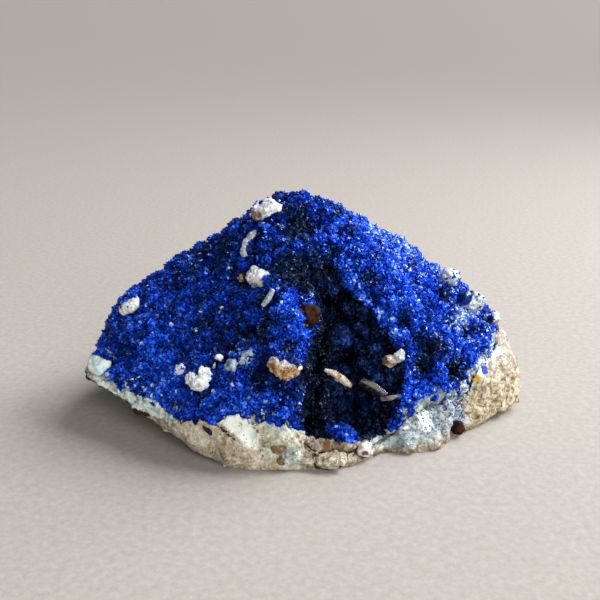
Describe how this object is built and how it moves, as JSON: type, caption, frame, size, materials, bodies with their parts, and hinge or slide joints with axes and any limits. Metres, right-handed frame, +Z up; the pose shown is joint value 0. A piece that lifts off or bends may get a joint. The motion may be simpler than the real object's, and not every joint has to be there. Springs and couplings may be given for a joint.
{
  "type": "azurite specimen",
  "caption": "Peaked block of broken vein rock with a thick crust of small blue azurite crystals, set with lumps of quartz, clay and ironstone; stands on a broken flat.",
  "frame": {"origin": "middle of the specimen's plan, at the level of the surface that it stands on", "axes": "+X along the specimen's length towards its ochre end, +Y towards its back, +Z up"},
  "size_m": [0.0892, 0.0554, 0.0418],
  "materials": {
    "azurite": "crystalline, glassy, deep blue",
    "vein_rock": "rough, granular, cream to ochre",
    "quartz": "milky, glassy on its broken faces",
    "smoky_quartz": "glassy, grey brown",
    "kaolin": "chalky white",
    "limonite": "earthy, ochre brown",
    "ironstone": "dull, dark red brown",
    "chrysocolla": "waxy, pale turquoise"
  },
  "bodies": {
    "root": {"vein_rock_block": "vein_rock", "azurite_crust": "azurite", "azurite_ball": "azurite", "quartz_crest_lump": "quartz", "quartz_crescent": "quartz", "quartz_knob": "quartz", "quartz_blade": "quartz", "quartz_tan_grain": "quartz", "quartz_lens": "quartz", "quartz_streak": "quartz", "quartz_shoulder_lump": "quartz", "quartz_skyline_lump": "quartz", "quartz_end_patch": "quartz", "quartz_end_knob": "quartz", "quartz_foot_knob": "quartz", "smoky_quartz_plate": "smoky_quartz", "smoky_quartz_splinter": "smoky_quartz", "kaolin_chip": "kaolin", "kaolin_crumb": "kaolin", "clay_chip": "kaolin", "limonite_lump": "limonite", "limonite_blade": "limonite", "limonite_shelf": "limonite", "limonite_spot_upper": "limonite", "limonite_spot_lower": "limonite", "ironstone_seat": "ironstone", "ironstone_grain": "ironstone", "ironstone_patch": "ironstone", "chrysocolla_patch": "chrysocolla"}
  },
  "joints": []
}
